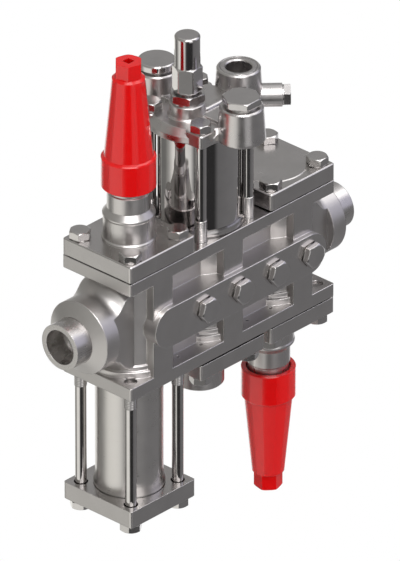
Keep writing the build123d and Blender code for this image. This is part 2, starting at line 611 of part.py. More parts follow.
parts["spring_cover_bolts"] = flipped(bolt_set(X2, low_top, low_base + 2, SPRING_BOLT_TURN))

# Top module over the outlet chamber: blind plate with a shallow raised disc
blind = square_plate(X3, PLATE_BASE, PLATE_TOP)
blind += turned([(0, PLATE_TOP - 1), (36, PLATE_TOP - 1), (36, PLATE_TOP), (35.2, PLATE_TOP + 0.7),
                 (0, PLATE_TOP + 0.7)], X3)
blind += turned([(0, PLATE_BASE + 1), (SPIGOT_R, PLATE_BASE + 1), (SPIGOT_R, HALF_H - SPIGOT_H),
                 (SPIGOT_R - 4, HALF_H - SPIGOT_H), (SPIGOT_R - 4, PLATE_BASE), (0, PLATE_BASE)], X3)
for px, py in corner_points(X3):
    blind -= cyl(BOLT_COLLAR_R + 0.6, PLATE_TOP, PLATE_TOP + 2, px, py)
parts["blind_cover"] = blind
parts["blind_cover_gasket"] = ring_gasket(X3, HALF_H, GASKET_T)
parts["blind_cover_bolts"] = bolt_set(X3, PLATE_TOP, PLATE_BASE + 2, BLIND_BOLT_TURN)

# Servo cylinder with its notched base ring, closed floor and rod guide
ring_top = SERVO_BASE + SERVO_RING_H
cylinder = turned([(PUSH_ROD_R + RUN, SERVO_BASE - SPIGOT_H), (SPIGOT_R, SERVO_BASE - SPIGOT_H),
                   (SPIGOT_R, SERVO_BASE), (SERVO_RING_R, SERVO_BASE), (SERVO_RING_R, ring_top - 1.2),
                   (SERVO_RING_R - 1.2, ring_top), (CYLINDER_R, ring_top), (CYLINDER_R, CYLINDER_TOP),
                   (CYLINDER_BORE_R, CYLINDER_TOP), (CYLINDER_BORE_R, CYLINDER_FLOOR),
                   (12, CYLINDER_FLOOR), (12, CYLINDER_FLOOR + 8), (PUSH_ROD_R + RUN, CYLINDER_FLOOR + 8)], X2)
for px, py in corner_points(X2):
    cylinder -= cyl(BOLT_R + 0.7, SERVO_BASE - 1, ring_top + 1, px, py)
for k in range(3):
    a = radians(120 * k + 90)
    cylinder -= cyl(3, SERVO_BASE - SPIGOT_H - 1, CYLINDER_FLOOR + 1, X2 + 19 * cos(a), 19 * sin(a))
parts["servo_cylinder"] = cylinder
parts["servo_lower_gasket"] = ring_gasket(X2, HALF_H, SERVO_GASKET_T)
parts["servo_upper_gasket"] = ring_gasket(X2, CYLINDER_TOP, COVER_GASKET_T, CYLINDER_R - 0.6, CYLINDER_BORE_R)

# Servo cover: bevelled disc, four bolt lobes, three pilot port bosses and the spindle tower
cover = turned([(0, COVER_BASE), (COVER_DISC_R - 1, COVER_BASE), (COVER_DISC_R, COVER_BASE + 1),
                (COVER_DISC_R, COVER_TOP - COVER_BEVEL), (COVER_DISC_R - COVER_BEVEL, COVER_TOP),
                (0, COVER_TOP)], X2)
cover = cover & block(X2 - COVER_DISC_R - 1, X2 + COVER_DISC_R + 1, -HALF_W, HALF_W, COVER_BASE, COVER_TOP)
lobe = extrude(RectangleRounded(LOBE_SIZE, LOBE_SIZE, LOBE_CORNER), COVER_TOP - COVER_BASE)
lobe = chamfer(lobe.faces().sort_by(Axis.Z)[-1].edges(), 1.0)
for px, py in corner_points(X2):
    cover += Pos(px, py, COVER_BASE) * lobe
port_spots = {"front": (X2, -PORT_RADIUS), "open": (X2 + PORT_RADIUS, 0.0), "rear": (X2, PORT_RADIUS)}
for key, (px, py) in port_spots.items():
    foot_z = OPEN_BOSS_FOOT if key == "open" else COVER_BASE
    cover += turned([(0, foot_z), (PORT_BOSS_FOOT_R - 1, foot_z), (PORT_BOSS_FOOT_R, foot_z + 1),
                     (PORT_BOSS_FOOT_R, COVER_BASE + 3), (PORT_BOSS_TOP_R, PORT_BOSS_TOP - 1.4),
                     (PORT_BOSS_TOP_R - 1.4, PORT_BOSS_TOP), (0, PORT_BOSS_TOP)], px, py)
    bridge = block(-PORT_RADIUS / 2, PORT_RADIUS / 2, -BRIDGE_HALF_WIDTH, BRIDGE_HALF_WIDTH,
                   COVER_BASE, COVER_TOP + BRIDGE_RISE)
    angle = {"front": -90, "open": 0, "rear": 90}[key]
    reach = Rot(0, 0, angle) * Pos(PORT_RADIUS / 2, 0, 0) * bridge
    cover += Pos(X2, 0, 0) * reach
pad = extrude(RectangleRounded(PAD_LENGTH, PAD_WIDTH, PAD_CORNER), COVER_TOP + PAD_RISE - COVER_BASE)
pad = fillet(pad.faces().sort_by(Axis.Z)[-1].edges(), PAD_EDGE)
cover += Pos(X2 + PAD_OFFSET_X, PAD_OFFSET_Y, COVER_BASE) * pad
tower_x = X2 - TOWER_OFFSET
cover += turned([(0, COVER_BASE), (TOWER_R + 1.5, COVER_BASE), (TOWER_R + 1.5, COVER_TOP), (TOWER_R, COVER_TOP + 2),
                 (TOWER_R, TOWER_TOP - 0.8), (TOWER_R - 0.8, TOWER_TOP), (0, TOWER_TOP)], tower_x)
spigot_base = COVER_BASE - COVER_SPIGOT_H
cover += cyl(CYLINDER_BORE_R - RUN, spigot_base, COVER_BASE, X2)

# Side branch of the open port, and the pilot bores down to the space over the piston
open_x = X2 + PORT_RADIUS
branch = Pos(open_x, 0, BRANCH_Z) * Rot(0, 0, -45) * cyl_x(BRANCH_R, 0, BRANCH_END)
cover += branch
cover -= cyl(CYLINDER_R + 0.8, OPEN_BOSS_FOOT - 1, spigot_base, X2)
cover -= cyl(CYLINDER_R + 0.8, spigot_base, COVER_BASE, X2) - cyl(CYLINDER_BORE_R - RUN, spigot_base, COVER_BASE, X2)
for key, (px, py) in port_spots.items():
    cover -= cyl(PORT_BORE_R, PORT_BORE_FLOOR, PORT_BOSS_TOP + 1, px, py)
    cover -= turned([(PORT_BORE_R - 1, PORT_BOSS_TOP - PORT_CHAMFER - 1),
                     (PORT_BORE_R + PORT_CHAMFER + 1, PORT_BOSS_TOP + 1), (PORT_BORE_R - 1, PORT_BOSS_TOP + 1)],
                    px, py)
    angle = {"front": -90, "open": 0, "rear": 90}[key]
    drill = Rot(0, PILOT_DRILL_TILT, 0) * Cylinder(PILOT_DRILL_R, PILOT_DRILL_LENGTH)
    drill = Pos(PORT_RADIUS - PILOT_DRILL_INSET, 0, PILOT_DRILL_Z) * drill
    cover -= Pos(X2, 0, 0) * Rot(0, 0, angle) * drill
cover -= cyl(7.5, BRANCH_Z - 6, PORT_BORE_FLOOR + 1, open_x)
cover -= Pos(open_x, 0, BRANCH_Z) * Rot(0, 0, -45) * cyl_x(BRANCH_BORE_R, 0, BRANCH_END + 1)
cover -= turned([(PORT_STEP_R, PORT_BOSS_TOP - PORT_STEP_T), (PORT_STEP_R + 0.6, PORT_BOSS_TOP - PORT_STEP_T),
                 (PORT_STEP_R + 0.6, PORT_BOSS_TOP + 1), (PORT_STEP_R, PORT_BOSS_TOP + 1)], open_x)
cover -= cyl(MANUAL_SPINDLE_R + RUN, COVER_BASE - 5, TOWER_TOP + 1, tower_x)
for px, py in corner_points(X2):
    cover -= cyl(BOLT_HOLE_R, COVER_BASE - 1, COVER_TOP + 1, px, py)
    cover -= cyl(BOLT_COLLAR_R + 0.7, COVER_TOP, COVER_TOP + 12, px, py)
parts["servo_cover"] = cover
parts["servo_bolts"] = bolt_set(X2, COVER_TOP, SERVO_THREAD_TOP, SERVO_BOLT_TURN, LONG_BOLT_SHANK_R)

# Gland nut, manual spindle and its hexagon cap on the tower
tower_nut = turned([(MANUAL_SPINDLE_R + RUN, TOWER_TOP), (TOWER_R - 2, TOWER_TOP), (TOWER_R - 2, TOWER_TOP + 2),
                    (TOWER_NECK_R, TOWER_TOP + 2), (TOWER_NECK_R, TOWER_NUT_TOP + 13),
                    (MANUAL_SPINDLE_R + RUN, TOWER_NUT_TOP + 13)], tower_x)
nut_hex = prism(TOWER_NUT_FLATS, TOWER_TOP + 2, TOWER_NUT_TOP, tower_x, turn=TOWER_NUT_TURN)
nut_corner = TOWER_NUT_FLATS / 2 * 1.155
nut_hex = nut_hex & turned([(0, TOWER_TOP), (nut_corner - 1.4, TOWER_TOP + 2), (nut_corner + 0.4, TOWER_TOP + 3.4),
                            (nut_corner + 0.4, TOWER_NUT_TOP - 1.4), (nut_corner - 1.6, TOWER_NUT_TOP),
                            (0, TOWER_NUT_TOP)], tower_x)
tower_nut += nut_hex - cyl(MANUAL_SPINDLE_R + RUN, TOWER_TOP, TOWER_NUT_TOP + 1, tower_x)
parts["tower_gland_nut"] = tower_nut
foot_z = PISTON_TOP + MANUAL_FEED + GAP
manual = turned([(0, foot_z), (MANUAL_SPINDLE_R - 0.8, foot_z), (MANUAL_SPINDLE_R, foot_z + 0.8),
                 (MANUAL_SPINDLE_R, TOWER_CAP_TOP - 12), (0, TOWER_CAP_TOP - 12)], tower_x)
parts["manual_spindle"] = manual
tower_cap = prism(TOWER_CAP_FLATS, TOWER_CAP_FOOT, TOWER_CAP_HEX_TOP, tower_x, turn=TOWER_CAP_TURN)
cap_corner = TOWER_CAP_FLATS / 2 * 1.155
tower_cap = tower_cap & turned([(0, TOWER_CAP_FOOT), (cap_corner - 1.2, TOWER_CAP_FOOT),
                                (cap_corner + 0.3, TOWER_CAP_FOOT + 1.6),
                                (cap_corner + 0.3, TOWER_CAP_HEX_TOP - 1.0),
                                (TOWER_CAP_R, TOWER_CAP_HEX_TOP), (0, TOWER_CAP_HEX_TOP)], tower_x)
dome = Cylinder(TOWER_CAP_R, TOWER_CAP_TOP - TOWER_CAP_HEX_TOP + 1)
dome = fillet(dome.faces().sort_by(Axis.Z)[-1].edges(), 2.5)
tower_cap += Pos(tower_x, 0, (TOWER_CAP_TOP + TOWER_CAP_HEX_TOP - 1) / 2) * dome
tower_cap -= cyl(TOWER_NECK_R + RUN, TOWER_CAP_FOOT - 1, TOWER_NUT_TOP + 15, tower_x)
tower_cap -= cyl(8.0, TOWER_NUT_TOP + 14, TOWER_CAP_TOP - 6, tower_x)
parts["manual_spindle_cap"] = tower_cap

# Pilot port plugs and their seal rings
shank = turned([(0, PORT_BOSS_TOP + PILOT_SEAL_T), (PORT_BORE_R - RUN, PORT_BOSS_TOP + PILOT_SEAL_T),
                (PORT_BORE_R - RUN, PILOT_SHANK_END + 1.5), (PORT_BORE_R - 1.6, PILOT_SHANK_END), (0, PILOT_SHANK_END)])
plug_top = PORT_BOSS_TOP + PILOT_SEAL_T + PILOT_PLUG_HEAD
pilot_corner = PILOT_PLUG_FLATS / 2 * 1.155
hex_head = prism(PILOT_PLUG_FLATS, PORT_BOSS_TOP + PILOT_SEAL_T, plug_top, turn=PILOT_PLUG_TURN)
hex_head = hex_head & turned([(0, PORT_BOSS_TOP), (pilot_corner - 1.6, PORT_BOSS_TOP + PILOT_SEAL_T),
                              (pilot_corner + 0.4, PORT_BOSS_TOP + PILOT_SEAL_T + 1.5),
                              (pilot_corner + 0.4, plug_top - 1.4), (pilot_corner - 1.8, plug_top), (0, plug_top)])
parts["front_pilot_plug"] = Pos(X2, -PORT_RADIUS, 0) * (hex_head + shank)
disc_head = turned([(0, PORT_BOSS_TOP + PILOT_SEAL_T), (DISC_PLUG_R - 0.6, PORT_BOSS_TOP + PILOT_SEAL_T),
                    (DISC_PLUG_R, PORT_BOSS_TOP + PILOT_SEAL_T + 0.6), (DISC_PLUG_R, plug_top - 1.2),
                    (DISC_PLUG_R - 1.2, plug_top), (0, plug_top)])
parts["rear_pilot_plug"] = Pos(X2, PORT_RADIUS, 0) * (disc_head + shank)
pilot_seal = turned([(PORT_BORE_R + 1.5, PORT_BOSS_TOP), (PILOT_SEAL_R + 1, PORT_BOSS_TOP),
                     (PILOT_SEAL_R + 1, PORT_BOSS_TOP + PILOT_SEAL_T), (PORT_BORE_R + 1.5, PORT_BOSS_TOP + PILOT_SEAL_T)])
parts["pilot_plug_seals"] = group([Pos(X2, -PORT_RADIUS, 0) * pilot_seal, Pos(X2, PORT_RADIUS, 0) * pilot_seal])
branch_plug = Pos(0, 0, BRANCH_END) * cyl(9.6, 0, 1.3)
side_hex = prism(BRANCH_PLUG_FLATS, BRANCH_END + 1.3, BRANCH_END + 1.3 + BRANCH_PLUG_HEAD, turn=0)
branch_corner = BRANCH_PLUG_FLATS / 2 * 1.155
branch_end = BRANCH_END + 1.3 + BRANCH_PLUG_HEAD
side_hex = side_hex & turned([(0, BRANCH_END), (branch_corner + 1, BRANCH_END), (branch_corner + 1, branch_end - 1.2),
                              (branch_corner - 1, branch_end), (0, branch_end)])
branch_plug = branch_plug + side_hex + cyl(BRANCH_BORE_R - RUN, BRANCH_END - 10, BRANCH_END + 1)
parts["branch_plug"] = Pos(open_x, 0, BRANCH_Z) * Rot(0, 0, -45) * Rot(0, 90, 0) * branch_plug

# Piston, push rod and throttle cone, which travel down together against the spring
piston_low = PISTON_TOP - PISTON_LENGTH
piston_r = CYLINDER_BORE_R - RUN
piston = turned([(0, PISTON_TOP), (piston_r, PISTON_TOP), (piston_r, PISTON_TOP - 6), (piston_r - 2, PISTON_TOP - 6),
                 (piston_r - 2, PISTON_TOP - 9), (piston_r, PISTON_TOP - 9), (piston_r, PISTON_TOP - 14),
                 (piston_r - 2, PISTON_TOP - 14), (piston_r - 2, PISTON_TOP - 17), (piston_r, PISTON_TOP - 17),
                 (piston_r, piston_low), (piston_r - 4, piston_low), (piston_r - 4, PISTON_TOP - 10),
                 (11, PISTON_TOP - 10), (11, piston_low + 4), (PUSH_ROD_R, piston_low + 4),
                 (PUSH_ROD_R, PISTON_TOP - 8), (0, PISTON_TOP - 8)], X2)
parts["servo_piston"] = piston
servo_edge = -SERVO_WEB_HALF - SEAT_LIP_T
throttle_rise = servo_edge - 0.5 + SEAT_OPENING_R
throttle = turned([(PUSH_ROD_R, throttle_rise - 9), (11, throttle_rise - 9), (13, throttle_rise - 13),
                   (CONE_R, throttle_rise - CONE_R), (CONE_R, throttle_rise - CONE_R - 5),
                   (10, throttle_rise - CONE_R - 5), (10, throttle_rise - CONE_R - 14),
                   (0, throttle_rise - CONE_R - 14), (0, throttle_rise - CONE_R - 4),
                   (PUSH_ROD_R, throttle_rise - CONE_R - 4)], X2)
parts["throttle_cone"] = throttle
parts["push_rod"] = cyl(PUSH_ROD_R, throttle_rise - CONE_R - 4, PISTON_TOP - 8, X2)
parts["servo_seat_ring"] = turned([(SEAT_OPENING_R, SERVO_WEB_HALF), (SEAT_BORE_R, SERVO_WEB_HALF),
                                   (SEAT_BORE_R, -SERVO_WEB_HALF), (SEAT_LIP_R, -SERVO_WEB_HALF),
                                   (SEAT_LIP_R, servo_edge), (SEAT_OPENING_R, servo_edge)], X2)

# Return spring between the throttle cone and the floor of the bottom boss
spring_top = throttle_rise - CONE_R - 5
wire = SPRING_WIRE_R
coil_h = spring_top - spring_floor - 2 * wire
helix = Helix(pitch=coil_h / SPRING_TURNS, height=coil_h, radius=SPRING_R, center=(0, 0, spring_floor + wire))
section = Plane(origin=helix @ 0, z_dir=helix % 0) * RegularPolygon(wire, 6)
coil = sweep(section, path=helix, is_frenet=True)
parts["return_spring"] = Pos(X2, 0, 0) * coil

for name, shape in parts.items():
    export_step(shape, "parts/" + name + ".step")
print(len(parts), "parts written")
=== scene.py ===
# %% [markdown]
# # A refrigeration valve station in steel and red plastic
# The station is a long forged housing with six modules bolted to it. Its shapes come from the
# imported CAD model, so this lesson is about what Blender adds: the finish of each metal, the red
# caps, and a studio that lets bare steel look like steel. Nothing is resized here, and every
# length is in metres, in the frame of the CAD model.

# %% Load the station
import json
from math import pi

import bpy
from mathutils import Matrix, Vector


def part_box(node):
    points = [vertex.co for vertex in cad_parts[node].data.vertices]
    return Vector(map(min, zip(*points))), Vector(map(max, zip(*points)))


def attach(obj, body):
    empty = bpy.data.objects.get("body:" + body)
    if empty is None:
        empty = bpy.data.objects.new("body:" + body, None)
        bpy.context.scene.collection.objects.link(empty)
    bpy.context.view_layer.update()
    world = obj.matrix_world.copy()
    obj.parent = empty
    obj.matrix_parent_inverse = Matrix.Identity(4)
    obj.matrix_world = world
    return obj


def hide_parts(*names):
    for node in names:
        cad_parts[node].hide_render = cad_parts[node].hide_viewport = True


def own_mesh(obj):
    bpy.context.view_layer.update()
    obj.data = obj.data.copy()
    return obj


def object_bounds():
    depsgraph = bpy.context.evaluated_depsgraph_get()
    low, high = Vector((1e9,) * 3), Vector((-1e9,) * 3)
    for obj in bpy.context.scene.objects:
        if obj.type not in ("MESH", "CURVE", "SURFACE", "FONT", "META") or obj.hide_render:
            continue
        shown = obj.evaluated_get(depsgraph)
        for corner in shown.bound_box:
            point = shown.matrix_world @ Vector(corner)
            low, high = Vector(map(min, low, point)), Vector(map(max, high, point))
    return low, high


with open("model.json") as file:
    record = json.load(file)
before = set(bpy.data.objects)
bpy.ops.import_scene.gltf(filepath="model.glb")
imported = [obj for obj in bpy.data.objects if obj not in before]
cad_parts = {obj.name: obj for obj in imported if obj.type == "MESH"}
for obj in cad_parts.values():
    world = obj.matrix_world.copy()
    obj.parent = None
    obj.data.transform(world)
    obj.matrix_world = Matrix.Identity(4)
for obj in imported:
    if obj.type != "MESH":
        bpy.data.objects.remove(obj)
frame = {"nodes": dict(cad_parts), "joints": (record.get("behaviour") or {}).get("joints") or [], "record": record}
cad_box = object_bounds()
slides = [joint for joint in frame["joints"] if joint["type"] == "slide"]
travel = {joint["name"]: joint["range_m"][1] for joint in slides}
print(len(frame["nodes"]), "pieces of the station are loaded, and", len(slides), "slides")

# %% [markdown]
# ## Named places
# A finish often changes with the place on a piece: a lathe leaves rings round an axis, and a mill
# leaves lines on a flat face. The three upright axes of the station are where the modules stand,
# so they are written down once, as they are measured from the loaded pieces. The radius of the
# line bore is the one that the CAD model gives to the pipe and the ports, and the faces of the
# housing tell which places are milled. Two places count as the same within a small tolerance.


# %% The module axes
def middle(node):
    """Centre of a loaded piece's box."""
    low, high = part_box(node)
    return (low + high) / 2


inlet_axis = middle("inlet_stop_red_cap").x
servo_axis = middle("servo_cylinder").x
outlet_axis = middle("outlet_stop_red_cap").x
flange_face = -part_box("strainer_cover")[0].y
housing_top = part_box("housing")[1].z
bore_radius = 0.015
tolerance = 0.0004
print("module axes at", [round(x, 4) for x in (inlet_axis, servo_axis, outlet_axis)])

# %% [markdown]
# ## Shader maths as plain maths
# A finish is worked out from numbers that change over the surface. Blender does that with nodes
# and links, which are hard to read in a script. The small class below stands for one output of a
# node. Adding, subtracting or multiplying two of them adds the Math node and its links, so a
# finish can be written as a formula. Colours and directions go through Mix and Vector Math
# instead, because a Math node would turn them grey.


# %% One output of a node, with its operators
class Wire:
    """The output of a shader node, to be used in formulas."""

    def __init__(self, bench, socket):
        self.bench = bench
        self.socket = socket

    def math(self, operation, *values):
        """Any operation of the Math node, on wires and numbers."""
        return self.bench.add("ShaderNodeMath", {"operation": operation}, dict(enumerate(values)))

    def __add__(self, other):
        return self.math("ADD", self, other)

    def __radd__(self, other):
        return self.math("ADD", other, self)

    def __sub__(self, other):
        return self.math("SUBTRACT", self, other)

    def __rsub__(self, other):
        return self.math("SUBTRACT", other, self)

    def __mul__(self, other):
        return self.math("MULTIPLY", self, other)

    def __rmul__(self, other):
        return self.math("MULTIPLY", other, self)

    def __truediv__(self, other):
        return self.math("DIVIDE", self, other)

    def __abs__(self):
        return self.math("ABSOLUTE", self)

    def above(self, limit):
        """1 where the wire is greater than the limit, and 0 elsewhere."""
        return self.math("GREATER_THAN", self, limit)

    def larger(self, other):
        return self.math("MAXIMUM", self, other)

    def floor(self):
        return self.math("FLOOR", self)

    def root(self):
        return self.math("SQRT", self)


# %% [markdown]
# ## A workbench for nodes
# Each material is built on its own bench, and later so is the room. The bench has one way to add
# a node: its type, the settings that have to be made first, and the values or wires of its
# inputs. A finish is a bench with a Principled shader waiting at the end, whose inputs are set
# by name.
#
# Two of its tools make edges look real. No edge of a steel piece is perfectly sharp, and the
# Bevel node turns the normal near an edge as if it were rounded. Edges also wear brighter, and
# they are found where that soft normal leaves the true one. On the housing the same edge mask
# also lightens the colour as a painted highlight along the edges.


# %% The bench
edge_gain = 9.0


class Bench:
    """A tree of nodes and the means to add to it."""

    def __init__(self, owner):
        owner.use_nodes = True
        self.tree = owner.node_tree

    def put(self, node, key, value):
        """Feeds one input of a node, with a wire or with a plain value."""
        if isinstance(value, Wire):
            self.tree.links.new(value.socket, node.inputs[key])
        else:
            node.inputs[key].default_value = value

    def add(self, kind, settings=None, values=None, out=0):
        """Adds one node and returns one of its outputs."""
        node = self.tree.nodes.new(kind)
        for key, value in (settings or {}).items():
            if key == "stops":
                for place, grey in value[1:-1]:
                    node.color_ramp.elements.new(place)
                for stop, (place, grey) in zip(node.color_ramp.elements, value):
                    stop.position, stop.color = place, (grey, grey, grey, 1)
            else:
                setattr(node, key, value)
        for key, value in (values or {}).items():
            self.put(node, key, value)
        return Wire(self, node.outputs[out])

    def split(self, vector):
        """The three numbers of a vector."""
        node = self.add("ShaderNodeSeparateXYZ", values={0: vector}).socket.node
        return [Wire(self, socket) for socket in node.outputs]


class Finish(Bench):
    """A node material with its Principled shader."""

    def __init__(self, name):
        self.material = bpy.data.materials.new(name)
        super().__init__(self.material)
        self.shader = self.tree.nodes["Principled BSDF"]

    def set(self, **inputs):
        """Sets the shader's own inputs; an underscore stands for a space."""
        for key, value in inputs.items():
            self.put(self.shader, key.replace("_", " "), value)

    def place(self):
        """Where on the piece the surface is, in metres: the vector, and its three numbers."""
        point = self.add("ShaderNodeTexCoord", out="Object")
        return point, self.split(point)

    def facing(self):
        """Which way the surface faces, as one vector wire."""
        return self.add("ShaderNodeNewGeometry", out="True Normal")

    def point(self, x, y, z):
        """A vector out of three wires or numbers."""
        return self.add("ShaderNodeCombineXYZ", values={0: x, 1: y, 2: z})

    def noise(self, where, scale, detail=2.0, rough=0.5):
        """Soft random values between 0 and 1; a larger scale makes finer grain."""
        values = {"Vector": where, "Scale": scale, "Detail": detail, "Roughness": rough}
        return self.add("ShaderNodeTexNoise", values=values)

    def colour(self, mask, low, high):
        """Goes from one colour to another as the mask goes from 0 to 1; a colour may be a wire."""
        low, high = [end if isinstance(end, Wire) else (*end, 1) for end in (low, high)]
        return self.add("ShaderNodeMix", {"data_type": "RGBA"}, {0: mask, 6: low, 7: high}, out=2)

    def soft_edges(self, radius):
        """A normal that rounds the edges of the piece by a small radius."""
        return self.add("ShaderNodeBevel", {"samples": 6}, {"Radius": radius})

    def wear_and_sheen(self, edges):
        """Close to 1 on edges, where the soft normal leaves the true one, and 0 elsewhere: a mask for wear and for
        painted edge highlights.
        """
        match = self.add("ShaderNodeVectorMath", {"operation": "DOT_PRODUCT"},
                         {0: edges, 1: self.facing()}, out="Value")
        return match.math("MINIMUM", (1.0 - match) * edge_gain, 1.0)

    def relief(self, height, depth, edges=None):
        """Raises the surface by a height between 0 and 1, times a depth in metres."""
        values = {"Height": height, "Distance": depth, "Strength": 1.0}
        if edges is not None:
            values["Normal"] = edges
        self.put(self.shader, "Normal", self.add("ShaderNodeBump", values=values))


# %% [markdown]
# ## Blasted forging
# The housing is forged, blasted with fine shot and then milled where modules and plugs seat. The
# blasted skin scatters light softly, with a fine grain that is only felt in the highlight. The
# milled faces are smoother, with faint lines along the housing. One mask tells them apart: a
# point is milled where the surface looks straight to the side or straight up, and lies as far out
# as the flange goes. A photograph of the real skin would carry its own lamp and would repeat, so
# the grain is worked out from noise. The ports that the pipes lead into are not blasted: their
# wall has the same grey scale as the inside of a pipe, which scatters light and mirrors little.

# %% Forged and milled steel of the housing
steel_dark, steel_light = (0.48, 0.46, 0.45), (0.60, 0.576, 0.57)
pipe_scale = (0.84, 0.82, 0.79)
straight_up = 0.98
forged = Finish("forged_steel")
spot, (x, y, z) = forged.place()
_, ny, nz = forged.split(forged.facing())
milled_side = abs(ny).above(straight_up) * abs(y).above(flange_face - tolerance)
milled_top = abs(nz).above(straight_up) * abs(z).above(housing_top - tolerance)
milled = milled_side.larger(milled_top)
shot = forged.noise(spot, 1500.0, 3.0, 0.6)
cloud = forged.noise(spot, 60.0, 3.0, 0.55)
lines = forged.noise(forged.point(x * 60.0, y * 60.0, z * 2600.0), 1.0, 2.0)
edges = forged.soft_edges(0.0015)
worn_and_sheen_edges = forged.wear_and_sheen(edges)
inside_port = 1.0 - (y * y + z * z).root().above(bore_radius + 1.5 * tolerance)
# Lighter edges in the colour are partly burnished wear and partly a painted highlight along the edges.
tone = forged.colour(cloud * 0.6 + milled * 0.2 + worn_and_sheen_edges * 0.5, steel_dark, steel_light)
forged.set(Metallic=1.0 - inside_port * 0.9)
forged.set(Base_Color=forged.colour(inside_port, tone, pipe_scale))
forged.set(Roughness=0.38 + (cloud - 0.5) * 0.12 - milled * 0.17
           - worn_and_sheen_edges * (1.0 - milled * 0.4) * 0.18)
grain = shot * (1.0 - milled) + lines * milled * 0.3
forged.relief(grain, 0.00002, edges)
print("forged steel has", len(forged.tree.nodes), "nodes")

# %% [markdown]
# ## Machined plates and covers
# The cover plates are sawn from bar, milled on their faces and turned on their round parts. Two
# patterns are needed: straight lines on the flats, and rings on what a lathe has turned. The
# distance from the module's axis gives the rings, since noise that changes only with that
# distance is the same all the way round. Turned parts are a little rougher than milled ones: they
# are what looks neither straight up nor straight along one of the sides.


# %% Lathe rings, and the plates that carry them
ring_pitch = 0.0004
straight_aside = 0.999


def lathe_rings(finish, x, y, z, axis_x):
    """Noise that changes with the distance from an upright axis and with height only."""
    dx = x - axis_x
    reach = (dx * dx + y * y).root()
    return finish.noise(finish.point(reach / ring_pitch, 0.0, z / ring_pitch), 1.0, 2.0, 0.6)


def plate_finish(name, axis_x):
    """Milled flats and turned rounds about one module axis."""
    plate = Finish(name)
    spot, (x, y, z) = plate.place()
    nx, ny, nz = plate.split(plate.facing())
    flat = abs(nz).above(straight_up)
    rings = lathe_rings(plate, x, y, z, axis_x)
    haze = plate.noise(spot, 45.0, 3.0)
    fine = plate.noise(plate.point(x * 2200.0, y * 90.0, z * 90.0), 1.0, 2.0)
    marks = rings * (1.0 - flat) + fine * flat
    straight_side = abs(nx).above(straight_aside) + abs(ny).above(straight_aside)
    turned_part = (1.0 - flat) * (1.0 - straight_side)
    edges = plate.soft_edges(0.0008)
    plate.set(Metallic=1.0)
    plate.set(Base_Color=plate.colour(haze, steel_dark, (0.58, 0.557, 0.55)))
    plate.set(Roughness=0.24 + turned_part * 0.09 + (haze - 0.5) * 0.10 + (marks - 0.5) * 0.06
              - plate.wear_and_sheen(edges) * 0.06)
    plate.relief(marks, 0.00001, edges)
    return plate


inlet_plate = plate_finish("plate_steel", inlet_axis)
servo_plate = plate_finish("plate_steel_servo", servo_axis)
outlet_plate = plate_finish("plate_steel_outlet", outlet_axis)
print("three plate finishes, one for each module axis")

# %% [markdown]
# ## Satin casting of the servo cover
# The servo cover is an investment casting, tumbled until it has a soft satin shine. It has no
# lathe rings. Its skin is a little wavy, which shows as slow bends in its reflections, so a
# coarse noise gives a shallow relief under the fine grain.

# %% Satin steel
satin = Finish("satin_steel")
spot, _ = satin.place()
wave = satin.noise(spot, 110.0, 2.0)
skin = satin.noise(spot, 1300.0, 2.0, 0.6)
satin.set(Metallic=1.0)
satin.set(Base_Color=satin.colour(wave, (0.48, 0.46, 0.455), (0.58, 0.557, 0.55)))
satin.set(Roughness=0.29 + (wave - 0.5) * 0.12)
satin.relief(wave * 0.8 + skin * 0.2, 0.00005, satin.soft_edges(0.0012))
print("satin steel is ready")

# %% [markdown]
# ## Turned, polished and ground steel
# Pipe stubs, the servo cylinder, plugs and spindles are all round and come off a lathe or a
# polishing wheel. They differ in how smooth they are. One recipe makes them all. Its values are
# two colours, the roughness and how much that varies, and the depth of the rings.


# %% A recipe for round steel pieces
class RoundSteel(Finish):
    """Steel with marks that run round the piece, in planes of equal height."""

    def __init__(self, name, low, high, rough, spread, depth):
        super().__init__(name)
        self.spot, (self.x, self.y, self.z) = self.place()
        self.depth = depth
        drawn_out = self.point(self.x * 50.0, self.y * 50.0, self.z * 1900.0)
        self.turned = self.noise(drawn_out, 1.0, 2.0, 0.6)
        breath = self.noise(self.spot, 70.0, 3.0)
        self.rough = rough + (breath - 0.5) * spread + (self.turned - 0.5) * spread * 0.6
        self.set(Metallic=1.0)
        self.tone = self.colour(breath, low, high)
        self.set(Base_Color=self.tone)
        self.set(Roughness=self.rough)

    def away_from(self, axis_x):
        """The direction that points straight away from an upright axis."""
        outward = self.point(self.x - axis_x, self.y, 0.0)
        return self.add("ShaderNodeVectorMath", {"operation": "NORMALIZE"}, {0: outward})

    def with_edges(self, radius=0.0005):
        """Adds the rings and soft edges, and is called when nothing else bends the normal."""
        self.relief(self.turned, self.depth, self.soft_edges(radius))


mirror_dark, mirror_light = (0.50, 0.48, 0.475), (0.60, 0.577, 0.57)
polished = RoundSteel("polished_steel", mirror_dark, mirror_light, 0.07, 0.05, 0.000003)
polished.with_edges(0.0016)
bright = RoundSteel("bright_steel", (0.48, 0.465, 0.46), (0.58, 0.56, 0.555), 0.22, 0.10, 0.000008)
bright.with_edges()
strainer_steel = RoundSteel("strainer_steel", (0.46, 0.445, 0.44), (0.56, 0.54, 0.535),
                            0.30, 0.12, 0.000008)
strainer_steel.with_edges()
spring_steel = RoundSteel("spring_steel", (0.24, 0.24, 0.24), (0.34, 0.34, 0.34), 0.35, 0.14, 0.00001)
spring_steel.with_edges()
print("four plain round steels are ready")

# %% [markdown]
# ## Round pieces with a zone of their own
# Some round pieces change on the way along. The foot ring of the servo cylinder is only fine
# turned, so it is duller than the polished wall above it, and its steps are so small that its
# normal is mostly the straight outward one. The bore of a pipe stub keeps the grey skin of drawn
# pipe, which scatters light where the outside mirrors it. The strainer tube has a foot that is
# blended into the wall, and a normal that points straight away from the tube's axis shows it so.

